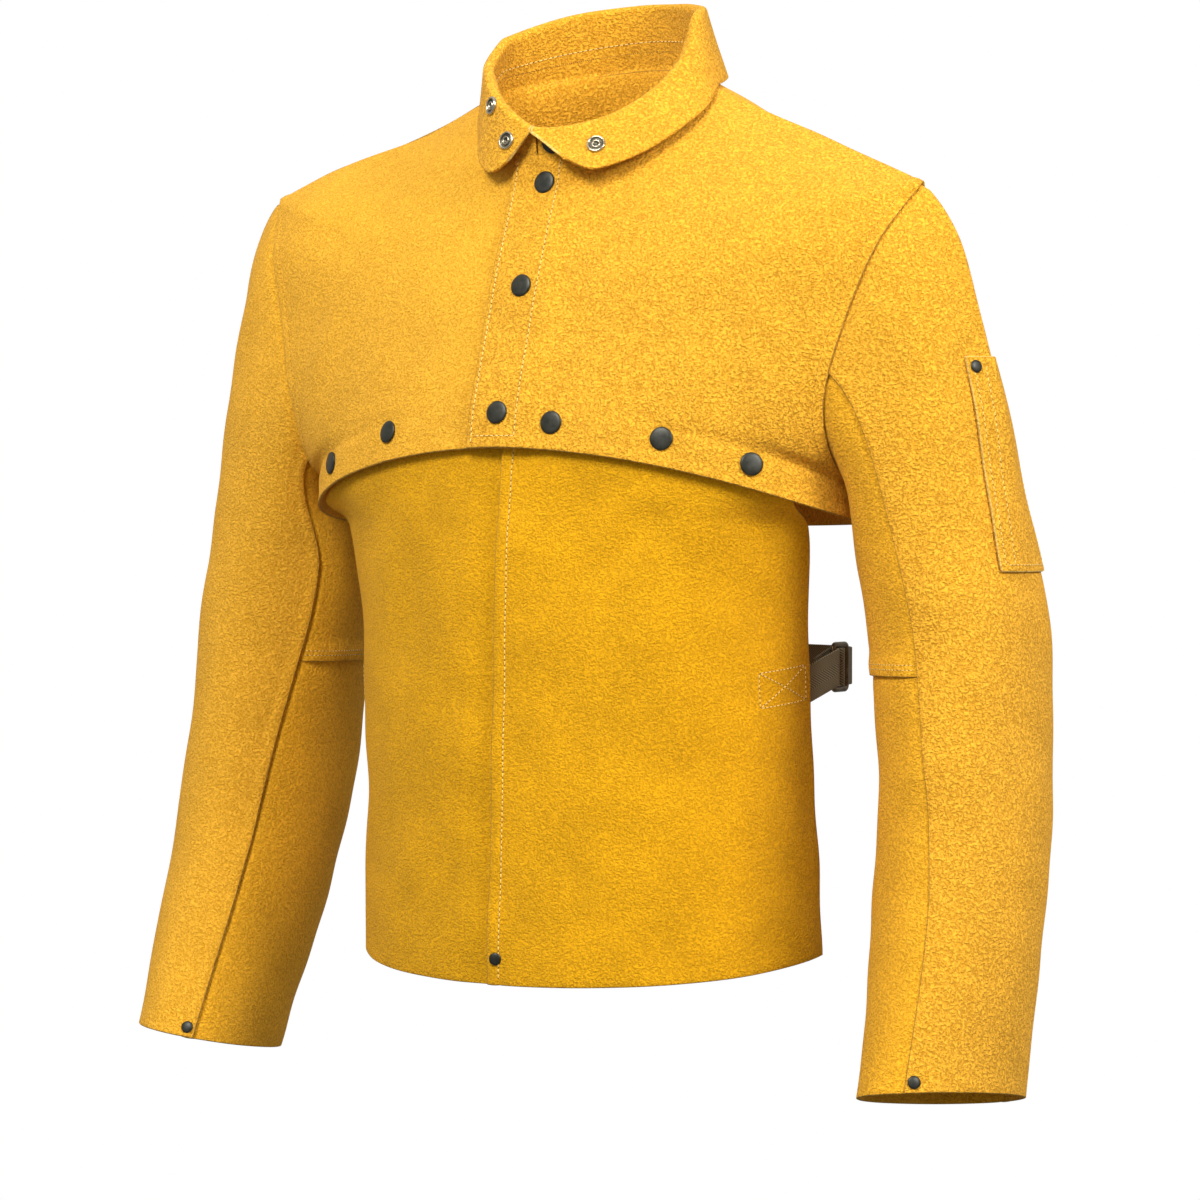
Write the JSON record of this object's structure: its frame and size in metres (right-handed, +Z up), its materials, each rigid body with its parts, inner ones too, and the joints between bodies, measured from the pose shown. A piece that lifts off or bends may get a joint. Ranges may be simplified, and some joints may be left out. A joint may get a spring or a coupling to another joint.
{
  "type": "welding cape with bib",
  "caption": "Short leather work cape with long sleeves, a rolled collar and a bib held by press studs and a waist strap.",
  "frame": {"origin": "midway between the points where the shoulder seams meet the collar, level with them, where the wearer's shoulders carry the cape", "axes": "+X to the wearer's left, -Y to the front, +Z up"},
  "size_m": [0.7033, 0.2738, 0.769],
  "materials": {
    "suede": "napped split leather, matt",
    "smooth_leather": "smoother split leather, matt",
    "snap_cap": "dark enamel, satin",
    "snap_socket": "nickel plated",
    "webbing": "woven, matt",
    "buckle": "dark bronze, satin",
    "thread": "twisted sewing thread"
  },
  "bodies": {
    "root": {"front_left": "suede", "front_right": "suede", "back": "suede", "collar": "suede", "bib_left": "suede", "bib_right": "suede", "pen_pocket": "suede", "left_sleeve_outer": "suede", "right_sleeve_outer": "suede", "left_sleeve_inner_upper": "smooth_leather", "left_sleeve_inner_lower": "smooth_leather", "right_sleeve_inner_upper": "smooth_leather", "right_sleeve_inner_lower": "smooth_leather", "placket_snap_1": "snap_cap", "placket_snap_2": "snap_cap", "placket_snap_3": "snap_cap", "bib_snap_1": "snap_cap", "bib_snap_2": "snap_cap", "bib_snap_3": "snap_cap", "bib_snap_4": "snap_cap", "bib_snap_5": "snap_cap", "collar_snap": "snap_cap", "left_cuff_rivet": "snap_cap", "right_cuff_rivet": "snap_cap", "bib_rivet": "snap_cap", "pocket_rivet": "snap_cap", "collar_socket_1": "snap_socket", "collar_socket_2": "snap_socket", "collar_socket_3": "snap_socket", "strap_short": "webbing", "strap_long": "webbing", "buckle_frame": "buckle", "buckle_slide": "buckle"}
  },
  "joints": []
}
